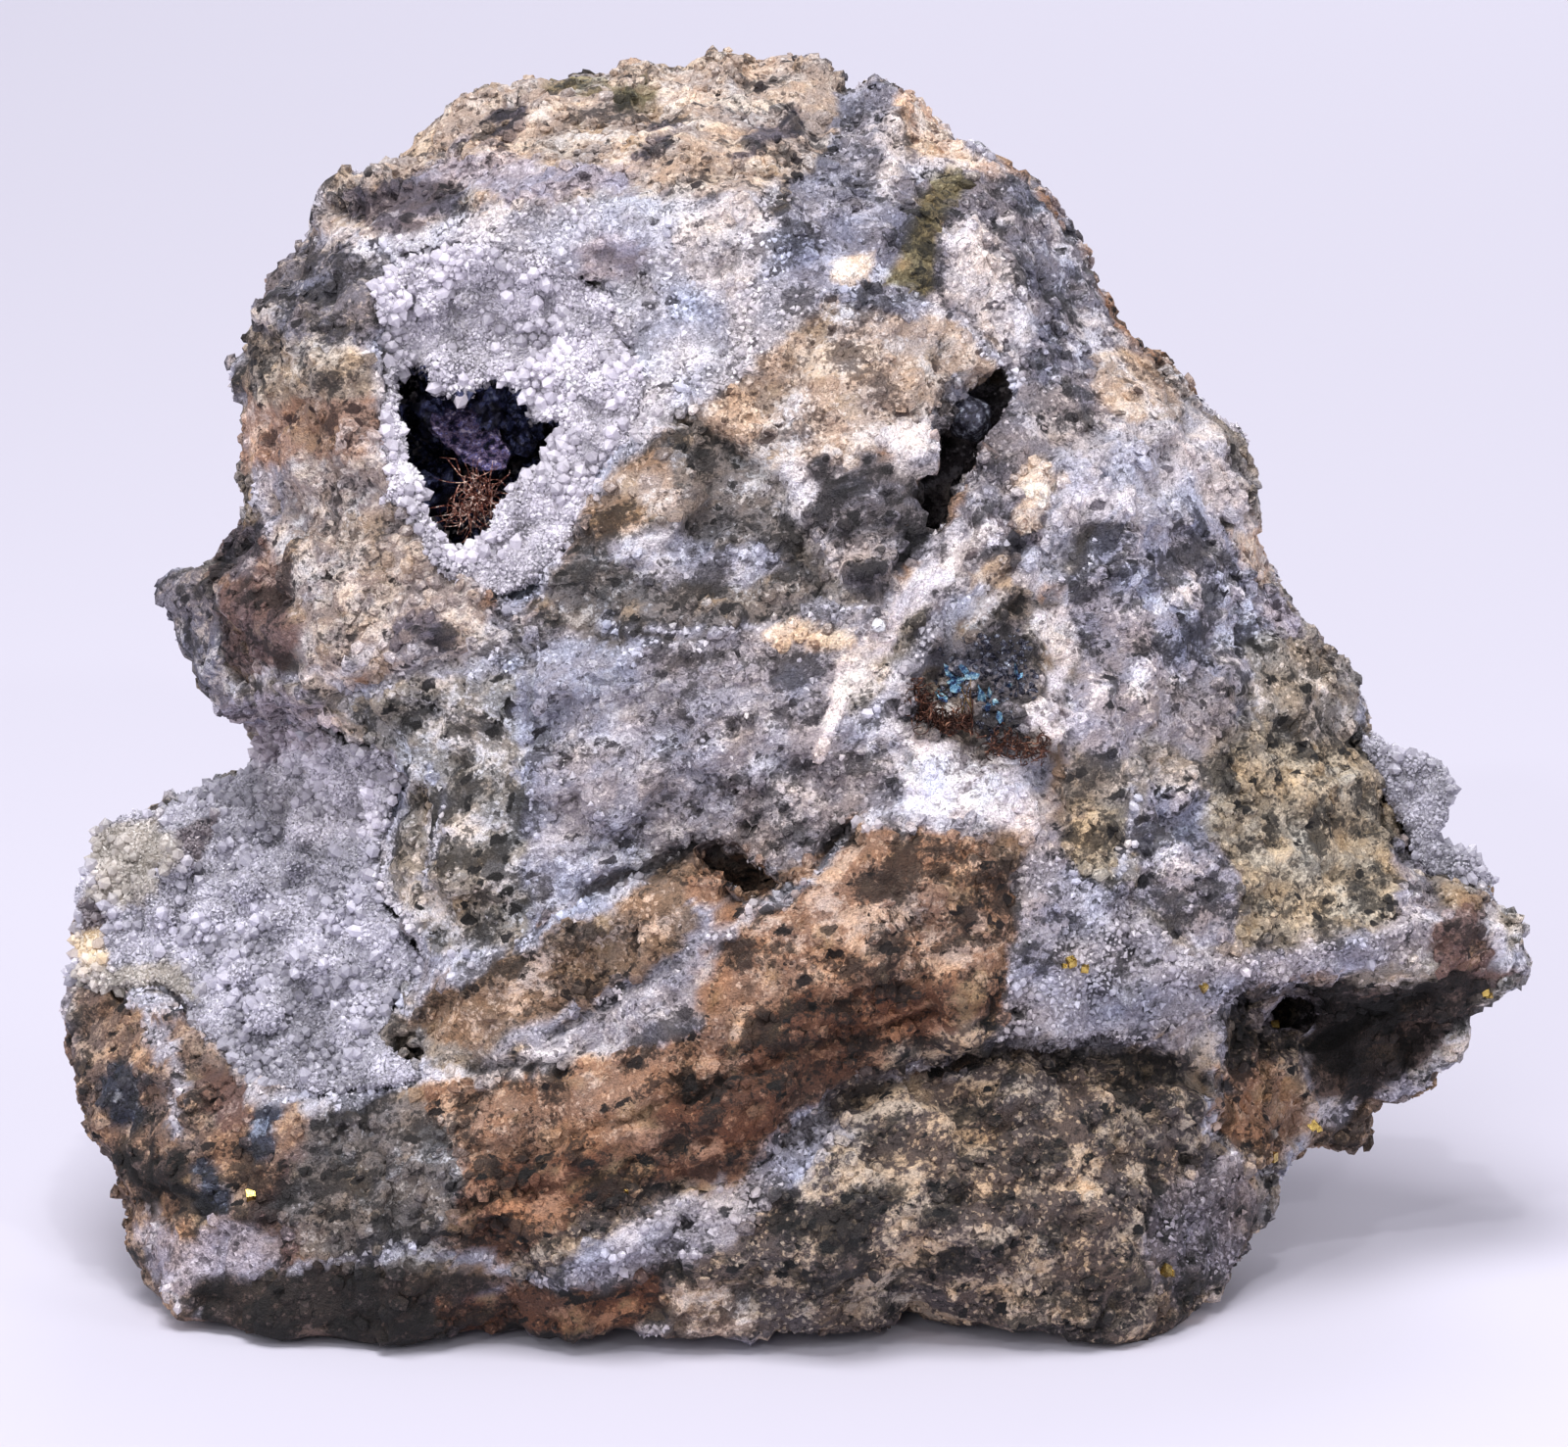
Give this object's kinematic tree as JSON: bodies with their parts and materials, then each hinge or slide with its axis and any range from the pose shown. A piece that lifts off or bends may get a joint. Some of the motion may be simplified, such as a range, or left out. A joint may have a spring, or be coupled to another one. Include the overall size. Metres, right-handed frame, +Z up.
{
  "type": "wire silver specimen",
  "caption": "Wire silver in a small vug of a quartz-cemented breccia, a hand specimen that stands on its own flat underside.",
  "frame": {"origin": "middle of the specimen's box in X and Y, at the level of the surface it rests on", "axes": "+X to the right across the face with the silver, +Y from that face towards the broken back, +Z up"},
  "size_m": [0.0808, 0.0464, 0.064],
  "materials": {
    "matrix": "rough broken breccia, brown, grey and black, cemented by grey quartz",
    "quartz_crust": "glassy grey-white quartz crystals, sparkling",
    "tarnished_silver": "metal wire with a copper-red and bronze tarnish",
    "acanthite": "blue-black metal sheen, iridescent"
  },
  "bodies": {
    "root": {"matrix": "matrix", "slope_druse": "quartz_crust", "vug_druse": "quartz_crust", "edge_druse": "quartz_crust", "silver_wire_nest": "tarnished_silver", "silver_wire_mat": "tarnished_silver", "silver_wire_tuft": "tarnished_silver", "acanthite_plate": "acanthite", "acanthite_knob": "acanthite", "acanthite_blades": "acanthite"}
  },
  "joints": []
}
